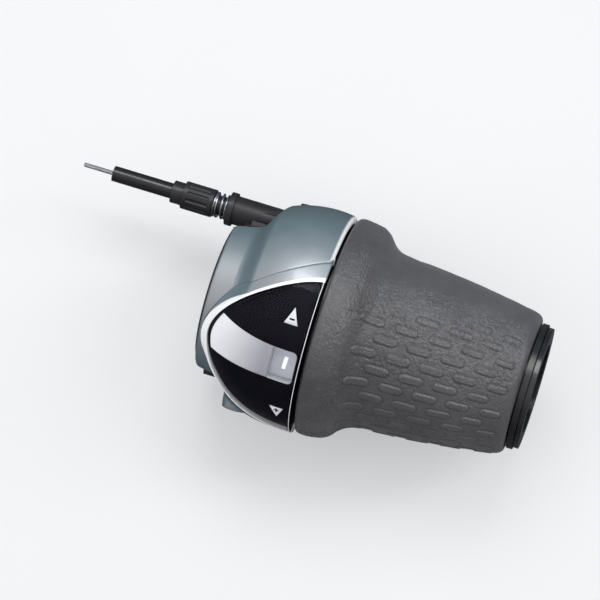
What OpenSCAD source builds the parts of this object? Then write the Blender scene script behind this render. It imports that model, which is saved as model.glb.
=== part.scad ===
// Twist-grip gear shifter for the right end of a bicycle handlebar.
// X runs along the handlebar, outboard positive. Y is forward, Z is up.
// The origin is on the bar axis at the inboard face of the clamp.
// Angles called psi turn about +X: 0 is straight up, 90 is straight back.

/* [Handlebar] */
// Radius of the clamp bore
clamp_bore_r = 11.15; // [11.1:0.05:11.25]
// Radius of the bore that turns on the bar
core_bore_r = 11.5; // [11.4:0.05:11.55]

/* [Housing] */
// Length of the fixed housing
housing_l = 28.6; // [28.4:0.1:28.8]
// Radius of the inboard collar at its face
collar_r = 19.2; // [19.0:0.1:19.6]
// Largest radius of the housing body
crown_r = 28.25; // [28.1:0.05:28.4]
// Thickness of the painted top cover
cover_t = 1.5; // [1.3:0.1:1.5]
// Angle at which the gear window faces
window_psi = 41; // [38:1:44]

/* [Grip] */
// Outboard end of the rubber sleeve
sleeve_end = 80.1; // [79.6:0.1:80.2]
// Radius of the rubber flange beside the housing
flange_r = 28.0; // [27.6:0.1:28.2]
// Radius of the rubber behind the flange
neck_r = 22.0; // [21.6:0.1:22.2]
// Radius of the rubber near its outboard end
tip_r = 18.4; // [18.2:0.1:18.8]
// Stiffening ribs under the rubber
ribs = 12; // [8:1:14]

/* [Gearing] */
// Number of gears
gears = 7; // [6:1:7]
// Turn of the grip from one gear to the next
click = 20; // [18:1:20]
// Radius at which the inner wire winds on the drum
wind_r = 14.25; // [14.2:0.05:14.3]

/* [Cable] */
// Length of outer casing beyond the adjuster
casing_l = 19; // [10:1:60]
// Bare wire past the casing end
wire_tail = 8; // [4:1:40]

/* [Hidden] */
$fn = 72;
overlap = 0.01;                // makes joined solids overlap
cover_gap = 0.16;              // assembly gap between cover and base

// Housing
clamp_l = 8;                   // length that grips the bar
cavity_x = 8.2;                // inboard wall of the hollow for the works
hub_r = 12.4;                  // fixed hub on which the drum turns
hub_end = 17.9;
rim_r = 23.7;                  // bore of the rim that keeps the dial in
rear_screw = [109, 12.4];      // psi, x
front_screw = [-88, 15.6];     // psi, x
clamp_psi = 150;
bolt_x = 4.2;
bolt_out = 20.8;               // bolt axis from the bar axis
ear_w = 12.8;                  // both clamp ears together, along the bolt
nut_w = 7;

// Gears and dial
gear_module = 0.55;
pressure_angle = 25;
sun_teeth = 50;
planet_teeth = 10;
ring_teeth = 70;
orbit_r = gear_module * (sun_teeth + planet_teeth) / 2;
planet_places = [0, 120, 240];
addendum = 0.8;                // tooth height past the pitch circle, in modules
dedendum = 1.05;               // tooth depth inside it, in modules
backlash = 0.05;
cup_r = 21.3;                  // outside of the ring gear cup
cup_x = 13.4;                  // inboard face of the cup
dial_r = 25.2;
detent_psi = 225;

// Wire: round the drum, straight to the guide pulley, then out along the bar
wire_r = 0.6;
strand_r = wire_r - 0.02;      // the wire as built, clear of what it touches
wire_x = 10.8;                 // plane in which the wire winds
nipple_psi = 100;
nipple_out = 15.6;
leave_psi = 200;               // where the wire leaves the drum
run_y = 22.5;                  // the wire's way out, parallel to the bar
pulley_r = 4.0;                // wire centre on the guide pulley
dir_y = -cos(leave_psi);
dir_z = -sin(leave_psi);
start_y = -wind_r * sin(leave_psi);
start_z = wind_r * cos(leave_psi);
lead_l = (run_y - start_y) / dir_y;
run_z = start_z + lead_l * dir_z;
tilt = asin(dir_z);            // slope of the lead in the YZ plane
pulley_centre = [wire_x - pulley_r, run_y - pulley_r * dir_y, run_z - pulley_r * dir_z];

// Cable arm and adjuster
arm_x = -5;                    // mouth of the cable arm
head_x = -9;                   // outboard face of the adjuster's head
adj_end = -17;                 // inboard face of the adjuster's head
case_end = adj_end - casing_l;

// Grip core under the rubber: a 45 degree shoulder, then a long taper
core_end = 82.0;
shoulder_x = 36;
taper_x = 42;
shoulder_r = 25.2;
taper_r = 19.2;

// --- placing ---
module about_bar(psi = 0) rotate([0, 90, 0]) rotate([0, 0, 180 + psi]) children();
// profile points are [radius, x]
module turn(points, psi = 0, sweep = 360)
    about_bar(psi) rotate_extrude(angle = sweep) polygon(points);
module ring(start, end, inner, outer, psi = 0, sweep = 360)
    turn([[inner, start], [outer, start], [outer, end], [inner, end]], psi, sweep);
module out_at(psi) rotate([psi, 0, 0]) children();     // local Z points outward at psi
module along_x(start, length, radius)
    translate([start, 0, 0]) rotate([0, 90, 0]) cylinder(h = length, r = radius);
// an outline extruded along X at psi, its -X pointing outward
module extrude_at(psi, start, length)
    out_at(psi) translate([start, 0, 0]) rotate([0, 90, 0])
        linear_extrude(height = length) children();
module at_run() translate([0, run_y, run_z]) children();
module at_pulley() translate(pulley_centre) rotate([tilt, 0, 0]) children();
module at_screw(place, out) out_at(place[0]) translate([place[1], 0, out]) children();
// local Z along the bolt or the nipple
module at_bolt()
    out_at(clamp_psi) translate([bolt_x, 0, bolt_out]) rotate([-90, 0, 0]) children();
module at_nipple()
    out_at(nipple_psi) translate([wire_x, 0, nipple_out]) rotate([-90, 0, 0]) children();
module at_planet(place, x)
    about_bar() translate([orbit_r * cos(place), orbit_r * sin(place), x]) children();
// a rod on the line of the wire from drum to pulley
module lead_rod(start, length, radius)
    translate([wire_x, start_y, start_z]) rotate([tilt, 0, 0]) translate([0, start, 0])
        rotate([-90, 0, 0]) cylinder(h = length, r = radius);

// --- profiles ---
function ramp(t) = let (part = min(max(t, 0), 1)) part * part * (3 - 2 * part);
function body_r(x) = crown_r - 0.0178 * pow(x - 23.5, 2);
// the collar blends into the body, and both edges are eased
function cover_r(x) = let (blend = ramp((x - 6) / 5.5))
    (collar_r + 0.18 * x) * (1 - blend) + body_r(x) * blend
    - 0.9 * pow(max(0, 1.3 - x), 2) - 0.75 * pow(max(0, x - 27.5), 1.6);
function lens_r(x) = crown_r + 0.25 - 5.25e-4 * pow(28.5 - x, 3);
function steps(from, to, count) = [for (i = [0:count]) from + (to - from) * i / count];
// closed profile between two radius functions
function shell_points(start, end, top, low, count = 26) = concat(
    [for (x = steps(start, end, count)) [top(x), x]],
    [for (x = steps(end, start, count)) [low(x), x]]);

// half width at x of a window arch
function arch_half(x, tip_x, foot_x, half_w) = half_w
    * pow(1 - pow(min(1, max(0, (foot_x - x) / (foot_x - tip_x))), 1.6), 0.57);
// arch outline, its points closer together at the tip
function arch(tip_x, foot_x, half_w, count = 16) = let (
    side = [for (i = [0:count])
        let (x = foot_x - (1 - pow(i / count, 2)) * (foot_x - tip_x))
        [x, arch_half(x, tip_x, foot_x, half_w)]])
    concat(side, [for (i = [count:-1:1]) [side[i][0], -side[i][1]]]);
module arch_prism(tip_x, foot_x, half_w, cut_x = 99)
    out_at(window_psi) translate([0, 0, 4]) linear_extrude(height = 36) intersection() {
        polygon(arch(tip_x, foot_x, half_w));
        translate([tip_x - 5, -40]) square([cut_x - tip_x + 5, 80]);
    }
// a layer between two depths below the lens surface
module lens_layer(top, low)
    turn(shell_points(2.6, 28.3, function (x) lens_r(x) - top, function (x) lens_r(x) - low),
        window_psi - 60, 120);
module window_prism()
    out_at(window_psi) translate([0, 0, 8]) linear_extrude(height = 30) children();

// --- gears ---
function polar(radius, angle) = radius * [cos(angle), sin(angle)];
function involute(angle) = tan(angle) * 180 / PI - angle;
// half the angle that a tooth takes up at a radius
function half_angle(teeth, radius, lash) = let (
    pitch_r = gear_module * teeth / 2,
    base_r = pitch_r * cos(pressure_angle))
    90 / teeth + involute(pressure_angle)
    - involute(acos(min(1, base_r / max(radius, base_r)))) - lash / pitch_r * 180 / PI;
// each tooth climbs one flank and comes down the other; a flank is [radius, half angle]
function gear_points(teeth, outer, root, lash, phase) = let (
    base_r = gear_module * teeth / 2 * cos(pressure_angle),
    start_r = max(root, base_r),
    foot = root < base_r ? [[root, half_angle(teeth, start_r, lash)]] : [],
    flank = concat(foot, [for (k = [0:3])
        let (radius = start_r + (outer - start_r) * k / 3)
        [radius, half_angle(teeth, radius, lash)]]))
    [for (i = [0:teeth - 1]) let (middle = i * 360 / teeth + phase)
        each concat(
            [for (spot = flank) polar(spot[0], middle - spot[1])],
            [for (k = [len(flank) - 1:-1:0]) polar(flank[k][0], middle + flank[k][1])])];
module outer_gear(teeth, phase = 0)
    polygon(gear_points(teeth, gear_module * (teeth / 2 + addendum),
        gear_module * (teeth / 2 - dedendum), backlash, phase));
module ring_space(teeth, phase)
    polygon(gear_points(teeth, gear_module * (teeth / 2 + dedendum),
        gear_module * (teeth / 2 - addendum), -backlash, phase));

module planet(place) {
    // from the planet's place to the nearest sun tooth
    to_tooth = round(place * sun_teeth / 360) * 360 / sun_teeth - place;
    phase = place + 180 - to_tooth * sun_teeth / planet_teeth + 180 / planet_teeth;
    color("ivory") at_planet(place, 13.75) difference() {
        linear_extrude(height = 3.95) outer_gear(planet_teeth, phase);
        translate([0, 0, -1]) cylinder(h = 6, r = 1.05);
    }
}

// --- fixed pieces ---
module base_solid() {
    under_cover = cover_t + cover_gap;
    lip_x = housing_l - 0.55;
    // collar under the cover, shell round the works, and hub
    turn(concat([[clamp_bore_r, 0], [collar_r - 2.25, 0]],
        [for (x = steps(0.6, lip_x, 20)) [cover_r(x) - under_cover, x]],
        [for (x = steps(lip_x, cavity_x, 14)) [max(cover_r(x) - 2.7, x > 19 ? 25.4 : 18.6), x]],
        [[hub_r, cavity_x], [hub_r, hub_end], [core_bore_r, hub_end],
         [core_bore_r, clamp_l], [clamp_bore_r, clamp_l]]));
    // the bare underside, flush with the cover
    turn(shell_points(0, housing_l, function (x) cover_r(x), function (x) cover_r(x) - 2.1, 20),
        118.5, 139);
    // rim that keeps the dial in
    ring(28.2, housing_l - 0.05, rim_r, 26.3, 119, 138);
    // pulley housing and cable arm
    at_pulley() translate([0, 0, -3.6]) cylinder(h = 6.8, r = 6.35);
    at_run() along_x(arm_x, 16.4, 3.7);
    at_run() along_x(arm_x, 1.6, 4.3);
    at_run() translate([2.2, -5.5, -3.3]) cube([9.2, 6, 6.5]);
    // clamp ears
    out_at(clamp_psi) translate([0.4, -ear_w / 2, 13]) cube([7.5, ear_w, 12.4]);
    at_bolt() translate([0, 0, -ear_w / 2]) cylinder(h = ear_w, r = 4.6);
    // bosses for the cover screws
    at_screw(rear_screw, 21.6) cylinder(h = 1.5, r = 2.0);
    at_screw(front_screw, 22.0) cylinder(h = 2.4, r = 2.2);
    // seats for the detent spring
    for (psi = [202, 243]) ring(14.2, 18.4, 22.9, 24.4, psi, 5);
    // ribs on the underside
    for (psi = [172, 186, 200, 214])
        out_at(psi) translate([14.2, -0.6, 26]) cube([11.6, 1.2, 2.2]);
}

module housing_base() color([0.13, 0.13, 0.14]) difference() {
    base_solid();
    // room for the drum inside the pulley housing
    difference() {
        along_x(cavity_x, 6, 18.3);
        along_x(8, 7, 12.6);
    }
    // bar bore
    along_x(-1, clamp_l + 1, clamp_bore_r);
    // clamp slit, bolt way, head recess and nut pocket
    out_at(clamp_psi) translate([-1, -0.9, 10]) cube([9.1, 1.8, 30]);
    at_bolt() translate([0, 0, -20]) cylinder(h = 40, r = 2.15);
    at_bolt() translate([0, 0, 3.0]) cylinder(h = 20, r = 3.65);
    pocket_w = nut_w + 0.1;
    out_at(clamp_psi) translate([bolt_x - pocket_w / 2, -20, bolt_out - pocket_w / 2])
        cube([pocket_w, 16.4, pocket_w]);
    // opening under the window
    out_at(window_psi) translate([19.2, -15, 10]) cube([housing_l - 19.2 + 1, 30, 30]);
    // wire way, pulley pocket, axle and adjuster thread
    lead_rod(6, lead_l - 8, 1.3);
    at_pulley() translate([0, 0, -9]) cylinder(h = 10.4, r = 5.4);
    at_pulley() cylinder(h = 3.0, r = 1.26);
    at_pulley() translate([-2, -1, -1.3]) cube([6, 7, 2.6]);
    at_run() along_x(-20, 27, 1.0);
    at_run() along_x(-20, 18.5, 2.58);
    // screw holes
    for (place = [rear_screw, front_screw]) at_screw(place, 18.5) cylinder(h = 20, r = 1.06);
    // drain hole
    out_at(193) translate([24, 0, 15]) cylinder(h = 20, r = 1.5);
}

// [x, y] cut-away of the cover round the cable arm
ARM_CUT = [[-2, 12.6], [0.6, 14.6], [1.5, 15.4], [3, 15.7],
    [8.8, 16.9], [12.0, 24.1], [15.4, 34], [-2, 34]];

module top_cover() color([0.55, 0.61, 0.64]) difference() {
    union() {
        difference() {
            turn(shell_points(0.5, housing_l, function (x) cover_r(x),
                function (x) cover_r(x) - cover_t, 28), -102, 220);
            translate([0, 0, -40]) linear_extrude(height = 80) polygon(ARM_CUT);
        }
        // rim that keeps the dial in
        ring(28.15, housing_l - 0.1, rim_r, 26.9, -94, 206);
        // rear screw boss, trimmed to start within the cover's thickness
        difference() {
            at_screw(rear_screw, 22) cylinder(h = 5.3, r = 3.9);
            turn(concat([[0.1, 6]],
                [for (x = steps(6, 19, 9)) [cover_r(x) - cover_t + 0.4, x]], [[0.1, 19]]));
        }
    }
    arch_prism(tip_x = 1.3, foot_x = 28.9, half_w = 24.85);
    // holes and head recesses: place, distance out to the recess floor
    for (hole = [[rear_screw, 25.7], [front_screw, 26.2]]) {
        at_screw(hole[0], 20) cylinder(h = 12, r = 1.3);
        at_screw(hole[0], hole[1]) cylinder(h = 12, r = 2.35);
    }
}

module window_bezel() color([0.86, 0.87, 0.88]) difference() {
    intersection() {
        turn(shell_points(0.9, 28.55,
            function (x) max(lens_r(x) + 0.15, cover_r(x) + 0.1),
            function (x) max(lens_r(x) - 1.8, cover_r(x) - cover_t)), window_psi - 68, 136);
        arch_prism(tip_x = 1.35, foot_x = 28.85, half_w = 24.8, cut_x = 28.5);
    }
    arch_prism(tip_x = 3.0, foot_x = 28.75, half_w = 22.05, cut_x = 28.1);
}

module window_lens() color([0.6, 0.62, 0.66, 0.4]) intersection() {
    lens_layer(0, 1.0);
    arch_prism(tip_x = 3.05, foot_x = 28.75, half_w = 22.0, cut_x = 28.05);
}

// Fascia outlines: x along the window, then across it, forward positive
function band_bow(x) = pow(max(0, 27 - x) / 21, 2);
module band_shape() polygon(concat(
    [for (x = steps(3.2, 20.8, 10)) [x, 5.75 + 1.25 * band_bow(x)]],
    [for (x = steps(20.8, 3.2, 10)) [x, -2.85 - 0.75 * band_bow(x)]]));
DIGIT_HOLE = [[20.9, -2.85], [26.0, -2.9], [26.7, -2.7], [27.05, -2.2], [27.15, -1.6],
    [27.15, 4.5], [27.05, 5.1], [26.7, 5.55], [26.0, 5.75], [20.9, 5.8]];

module window_fascia() color([0.04, 0.04, 0.05]) difference() {
    intersection() {
        lens_layer(1.1, 1.7);
        arch_prism(tip_x = 3.7, foot_x = 28.75, half_w = 21.9, cut_x = 28.05);
    }
    window_prism() {
        offset(delta = 0.05) band_shape();
        polygon(DIGIT_HOLE);
    }
}

module fascia_band() color([0.82, 0.83, 0.85]) intersection() {
    lens_layer(1.15, 1.6);
    arch_prism(tip_x = 4.0, foot_x = 28.75, half_w = 21.8, cut_x = 28.0);
    window_prism() band_shape();
}

module sun_gear() color("whitesmoke") difference() {
    about_bar() translate([0, 0, 13.65]) linear_extrude(height = 4.15) outer_gear(sun_teeth);
    along_x(13, 6, hub_r + 0.02);
    // two slots in the bore
    for (psi = [0, 180]) out_at(psi) translate([13, -0.63, 11]) cube([6, 1.26, 2.03]);
}

module thrust_washer() color("gainsboro") ring(17.95, 18.3, 12.6, 18.4);

// a curved strip with a hollow nose pointing inward
module detent_spring() color([0.72, 0.72, 0.74]) difference() {
    union() {
        ring(14.3, 18.3, 22.45, 22.85, 202, 46);
        extrude_at(detent_psi, 14.3, 4)
            polygon([[-22.6, -2.4], [-20.75, -0.35], [-20.75, 0.35], [-22.6, 2.4]]);
    }
    extrude_at(detent_psi, 14, 5)
        polygon([[-23.2, -2.0], [-22.42, -1.85], [-21.2, -0.2],
            [-21.2, 0.2], [-22.42, 1.85], [-23.2, 2.0]]);
}

module clamp_bolt() color([0.2, 0.2, 0.21]) at_bolt() difference() {
    union() {
        translate([0, 0, -6.9]) cylinder(h = 10, r = 2.0);
        translate([0, 0, 3.05]) cylinder(h = 3.9, r = 3.5);
    }
    translate([0, 0, 4.6]) cylinder(h = 4, r = 1.75, $fn = 6);
}

module clamp_nut() color([0.6, 0.6, 0.62])
    out_at(clamp_psi) translate([bolt_x - nut_w / 2, -6.7, bolt_out - nut_w / 2]) difference() {
        cube([nut_w, 3.0, nut_w]);
        translate([nut_w / 2, -1, nut_w / 2]) rotate([-90, 0, 0]) cylinder(h = 6, r = 2.02);
    }

// cross-slotted screw, the underside of its head at z = 0
module screw(shank_l, head_l) difference() {
    union() {
        translate([0, 0, -shank_l]) cylinder(h = shank_l + overlap, r = 1.03);
        cylinder(h = head_l, r = 2.25);
    }
    for (a = [0, 90])
        rotate([0, 0, a]) translate([-1.4, -0.28, head_l - 0.75]) cube([2.8, 0.56, 2]);
}

module cover_screws() color([0.3, 0.3, 0.31]) {
    at_screw(rear_screw, 25.75) screw(shank_l = 4.1, head_l = 1.5);
    at_screw(front_screw, 26.25) screw(shank_l = 3.8, head_l = 1.1);
}

module pulley_axle() color("silver")
    at_pulley() translate([0, 0, -1.75]) cylinder(h = 4.6, r = 1.25);

module pulley_cap() color([0.13, 0.13, 0.14]) at_pulley() translate([0, 0, -3.6]) difference() {
    cylinder(h = 1.7, r = 5.35);
    translate([0, 0, -1]) cylinder(h = 1.8, r = 1.6, $fn = 6);
}

// --- pieces that turn with the grip ---
module gear_dial() color([0.80, 0.81, 0.84]) difference() {
    union() {
        ring(20.0, 28.0, dial_r - 0.9, dial_r);
        ring(20.0, 21.2, cup_r + 0.02, dial_r);
    }
    // one hole for each gear
    for (k = [0:gears - 1])
        out_at(window_psi + 180 - k * click) translate([24, 0, 20]) cylinder(h = 10, r = 0.6);
}

// bore of the rubber at x, less its clearance
function sleeve_in(x) = x < shoulder_x ? shoulder_r
    : x < taper_x ? shoulder_r - (x - shoulder_x)
    : taper_r - (x - taper_x) * 3.5 / 36.5;

module grip_core() color([0.16, 0.16, 0.17]) difference() {
    union() {
        // ring gear cup and tube
        ring(cup_x, 20.2, 12.5, cup_r);
        ring(18.4, core_end, core_bore_r, 13.3);
        // rings under the rubber
        ring(28.7, 30.3, 12.5, shoulder_r - 0.02);
        for (x = [36, 50, 64]) ring(x, x + 1.4, 12.5, sleeve_in(x + 1.4) - 0.02);
        ring(77.2, 78.6, 12.5, 15.7);
        for (k = [0:ribs - 1])
            out_at(k * 360 / ribs) translate([0, 0.8, 0]) rotate([90, 0, 0])
                linear_extrude(height = 1.6)
                    polygon([[29, 12.6], [29, shoulder_r - 0.1], [shoulder_x, shoulder_r - 0.1],
                        [taper_x, taper_r - 0.1], [78, 15.6], [78, 12.6]]);
        // ring that shows at the outboard end
        ring(80.5, core_end, 12.5, 16.1);
    }
    about_bar() translate([0, 0, 13]) linear_extrude(height = 5.4)
        ring_space(ring_teeth, 180 / ring_teeth);
    along_x(10, 80, core_bore_r);
    // one detent notch for each gear
    for (k = [0:gears - 1])
        extrude_at(detent_psi - k * click, 13, 5.7)
            polygon([[-25, -3.9], [-20.45, -0.5], [-20.45, 0.5], [-25, 3.9]]);
}

// [radius less flange_r, x] down the flange's rim
FLANGE = [[-0.7, 29.3], [-0.2, 29.6], [0, 30.2], [-0.1, 32], [-0.3, 34],
    [-0.55, 35.7], [-0.95, 36.6], [-1.6, 37.5]];
// [radius less neck_r, x] from the flange to the neck
NECK = [[3.4, 38.4], [2.35, 39.3], [1.55, 40.2], [1.0, 41.1], [0.65, 42], [0.4, 42.9],
    [0.1, 44.8]];

module grip_sleeve() color([0.27, 0.27, 0.28]) {
    neck_x = 46.5;
    tip_x = sleeve_end - 2.6;
    turn(concat(
        [[shoulder_r + 0.05, 29.3]],
        [for (spot = FLANGE) [flange_r + spot[0], spot[1]]],
        [for (spot = NECK) [neck_r + spot[0], spot[1]]],
        [for (x = steps(neck_x, tip_x, 12))
            [neck_r - (neck_r - tip_r) * pow((x - neck_x) / (tip_x - neck_x), 1.45), x]],
        [[tip_r - 0.4, sleeve_end - 1.1], [tip_r - 1.1, sleeve_end - 0.3],
         [tip_r - 1.9, sleeve_end], [13.4, sleeve_end], [13.4, 78.7], [15.75, 78.7],
         [taper_r + 0.05, taper_x], [shoulder_r + 0.05, shoulder_x]]));
}

module slip_washer() color([0.1, 0.1, 0.1])
    ring(core_end + 0.2, core_end + 1.4, core_bore_r, 15.5);

// --- wire and its drum ---
module wire_drum() color("gainsboro") difference() {
    bore_r = hub_r + 0.06;
    groove_r = wind_r - wire_r - 0.02;
    union() {
        turn([[bore_r, 8.45], [16, 8.45], [16, 9.95], [groove_r, 9.95], [groove_r, 11.65],
            [18.1, 11.65], [18.1, cup_x], [bore_r, cup_x]]);
        // block that holds the nipple
        ring(8.55, 12.95, 12.9, 17.85, 78, 18);
    }
    for (place = planet_places) at_planet(place, 11) cylinder(h = 5, r = 1.02);
    at_nipple() translate([0, 0, -0.3]) cylinder(h = 5.0, r = 1.95);
    // wire slot beside the nipple
    ring(wire_x - 0.65, wire_x + 0.65, wind_r - 0.95, 20, 88, 12);
}

module planet_pins() color("silver")
    for (place = planet_places) at_planet(place, 11.7) cylinder(h = 6.1, r = 1.0);

module wire_wound() color("silver")
    about_bar(nipple_psi + 1) rotate_extrude(angle = leave_psi - nipple_psi - 1.3)
        translate([wind_r, wire_x]) circle(r = strand_r, $fn = 24);

module wire_nipple() color("silver") at_nipple() cylinder(h = 4.5, r = 1.9);

module wire_lead() color("silver") {
    lead_rod(0.2, lead_l - pulley_r - 0.2, strand_r);
    at_pulley() rotate_extrude(angle = 90)
        translate([pulley_r, 0]) circle(r = strand_r, $fn = 24);
}

module wire_run() color("silver") at_run()
    along_x(case_end - wire_tail, pulley_centre[0] - 0.3 - case_end + wire_tail, strand_r);

module guide_pulley() color("whitesmoke") at_pulley() {
    groove_r = pulley_r - wire_r - 0.05;
    rotate_extrude() polygon([[1.3, -1.2], [5.0, -1.2], [5.0, -0.85], [groove_r, -0.62],
        [groove_r, 0.62], [5.0, 0.85], [5.0, 1.2], [1.3, 1.2]]);
}

module barrel_adjuster() color([0.12, 0.12, 0.13]) at_run() difference() {
    union() {
        along_x(adj_end, head_x - adj_end, 3.6);
        along_x(head_x - overlap, 6.4, 2.52);
    }
    // grip flutes
    for (k = [0:11])
        rotate([k * 30, 0, 0]) translate([adj_end + 1.2, 0, 3.95])
            rotate([0, 90, 0]) cylinder(h = 5.6, r = 0.62);
    along_x(adj_end - 1, 7.4, 2.52);
    along_x(adj_end - 1, 20, 0.95);
}

module adjuster_spring() color("silver") at_run() translate([head_x + 0.35, 0, 0]) {
    turns = 4;
    stations = 72;
    sides = 8;
    coil_r = 3.0;
    strand = 0.3;
    length = arm_x - head_x - 0.7;
    points = [for (i = [0:stations])
        let (a = 360 * turns * i / stations,
            centre = [length * i / stations, coil_r * cos(a), coil_r * sin(a)])
        each [for (k = [0:sides - 1]) let (b = 360 * k / sides)
            centre + strand * [cos(b), sin(b) * cos(a), sin(b) * sin(a)]]];
    polyhedron(points = points, faces = concat(
        [for (i = [0:stations - 1], k = [0:sides - 1])
            [i * sides + k, i * sides + (k + 1) % sides, (i + 1) * sides + (k + 1) % sides]],
        [for (i = [0:stations - 1], k = [0:sides - 1])
            [i * sides + k, (i + 1) * sides + (k + 1) % sides, (i + 1) * sides + k]],
        [[for (k = [sides - 1:-1:0]) k]],
        [[for (k = [0:sides - 1]) stations * sides + k]]));
}

module casing_ferrule() color([0.15, 0.15, 0.16]) at_run() difference() {
    union() {
        along_x(adj_end - 3, 9.3, 2.45);
        along_x(adj_end - 3, 2.9, 2.9);
    }
    along_x(adj_end - 4, 9.0, 1.68);
    along_x(adj_end - 4, 12, 0.95);
}

module outer_casing() color([0.07, 0.07, 0.08]) at_run() difference() {
    union() {
        along_x(case_end, adj_end - 3.2 - case_end, 2.0);
        along_x(adj_end - 4, 8.9, 1.65);
    }
    along_x(case_end - 1, adj_end + 8 - case_end, 1.0);
}

module casing_liner() color("white") at_run() difference() {
    along_x(case_end + 0.1, adj_end + 4.7 - case_end, 0.97);
    along_x(case_end - 1, adj_end + 8 - case_end, 0.72);
}

housing_base();
top_cover();
window_bezel();
window_lens();
window_fascia();
fascia_band();
gear_dial();
grip_core();
grip_sleeve();
slip_washer();
thrust_washer();
sun_gear();
planet(planet_places[0]);  // planet_gear_a
planet(planet_places[1]);  // planet_gear_b
planet(planet_places[2]);  // planet_gear_c
planet_pins();
wire_drum();
wire_wound();
wire_nipple();
wire_lead();
wire_run();
guide_pulley();
pulley_axle();
pulley_cap();
detent_spring();
barrel_adjuster();
adjuster_spring();
casing_ferrule();
outer_casing();
casing_liner();
clamp_bolt();
clamp_nut();
cover_screws();
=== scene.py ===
"""A twist shifter: a painted housing with a lens over a numbered dial, and a rubber grip.

The bar's axis is X. The housing lies at low x and the grip beyond x = 29 mm; +Z is up and
+Y is the front. Angles psi turn about X, from 0 at +Z towards -Y. Sizes are in millimetres
and angles in degrees unless noted; polar(), across() and run_point() give metres.
"""
import math

import bmesh
import bpy
import numpy as np
from mathutils import Matrix, Vector


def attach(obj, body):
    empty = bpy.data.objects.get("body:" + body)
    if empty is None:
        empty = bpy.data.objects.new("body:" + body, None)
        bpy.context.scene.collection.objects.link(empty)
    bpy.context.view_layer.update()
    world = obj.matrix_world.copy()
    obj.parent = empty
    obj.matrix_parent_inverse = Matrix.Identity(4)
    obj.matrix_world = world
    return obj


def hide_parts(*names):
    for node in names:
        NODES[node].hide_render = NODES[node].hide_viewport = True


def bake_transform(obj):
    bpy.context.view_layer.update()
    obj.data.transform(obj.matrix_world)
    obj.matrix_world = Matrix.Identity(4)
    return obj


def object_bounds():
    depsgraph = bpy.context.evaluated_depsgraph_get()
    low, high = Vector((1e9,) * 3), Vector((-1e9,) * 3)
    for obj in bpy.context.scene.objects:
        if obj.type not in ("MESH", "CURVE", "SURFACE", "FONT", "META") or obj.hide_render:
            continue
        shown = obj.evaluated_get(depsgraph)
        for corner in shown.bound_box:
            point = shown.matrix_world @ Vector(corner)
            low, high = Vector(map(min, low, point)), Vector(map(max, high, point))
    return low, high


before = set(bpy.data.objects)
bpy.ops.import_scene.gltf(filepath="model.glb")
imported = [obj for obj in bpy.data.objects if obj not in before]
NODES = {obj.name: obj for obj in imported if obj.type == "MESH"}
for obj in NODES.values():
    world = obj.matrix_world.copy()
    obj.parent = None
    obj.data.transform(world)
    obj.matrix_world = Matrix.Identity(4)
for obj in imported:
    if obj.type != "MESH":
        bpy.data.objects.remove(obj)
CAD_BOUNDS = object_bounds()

MM = 0.001

# ------------------------------------------------------------------ driving dimensions
CROWN_R = 28.25                 # largest radius of the painted cover
COLLAR_R = 19.2                 # cover radius at its closed end, x = 0
WINDOW_PSI = 41.0               # centre plane of the window
RUN_Y, RUN_Z = 22.5, -6.975203  # line of the straight wire, parallel to the bar
SEAT_R = 25.42                  # foot of the walls inside the window
FASCIA_DROP = 1.1               # depth of the printed fascia below the lens surface

# Arches of the window: x of the apex, x of the open end, half width at the open end
COVER_ARCH = (1.02, 28.9, 25.12)
RIM_OUTER_ARCH = (1.37, 28.46, 24.76)
RIM_INNER_ARCH = (3.0, 28.46, 22.06)
LENS_ARCH = (3.2, 28.9, 21.9)
BAND_ARCH = (4.0, 28.75, 21.6)

DIAL_R = 25.2
SLEEVE_X = 29.0                 # datum for distances along the rubber
SLEEVE_STEP = 0.185             # spacing of the rubber's rings
SLEEVE_SIDES = 760


# ------------------------------------------------------------------ curves and places
def smooth(t):
    """0 below t = 0, 1 above t = 1, with an even ease between."""
    u = np.clip(t, 0, 1)
    return u * u * (3 - 2 * u)


def wrap(angle):
    return (angle + 180) % 360 - 180


def cover_radius(x):
    x = np.asarray(x, float)
    body = CROWN_R - 0.0178 * (x - 23.5) ** 2
    to_body = smooth((x - 6) / 5.5)
    end_rounding = 0.9 * np.maximum(0, 1.3 - x) ** 2 + 0.75 * np.maximum(0, x - 27.5) ** 1.6
    return (COLLAR_R + 0.18 * x) * (1 - to_body) + body * to_body - end_rounding


def lens_radius(x):
    return CROWN_R + 0.25 - 5.25e-4 * (28.5 - np.asarray(x, float)) ** 3


def arch_profile(back):
    """Half width of an arch, 1 at its open end (back = 0) and 0 at its apex (back = 1)."""
    return np.power(np.clip(1 - back ** 1.6, 0, 1), 0.57)


def arch_half_width(x, arch):
    apex, end, width = arch
    return width * arch_profile(np.clip((end - np.asarray(x, float)) / (end - apex), 0, 1))


def polar(x, radius, psi):
    angle = np.radians(psi)
    x, radius, angle = np.broadcast_arrays(np.asarray(x, float), np.asarray(radius, float), angle)
    return np.stack([x, -radius * np.sin(angle), radius * np.cos(angle)], -1) * MM


def across(x, radius, t):
    """A point t mm forward of the window's centre plane."""
    return polar(x, radius, WINDOW_PSI - np.degrees(np.arcsin(np.clip(t / radius, -1, 1))))


def run_point(x, y=0.0, z=0.0):
    """A point y and z mm off the line of the straight wire."""
    parts = np.broadcast_arrays(np.asarray(x, float), RUN_Y + np.asarray(y, float),
                                RUN_Z + np.asarray(z, float))
    return np.stack(parts, -1) * MM


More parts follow.
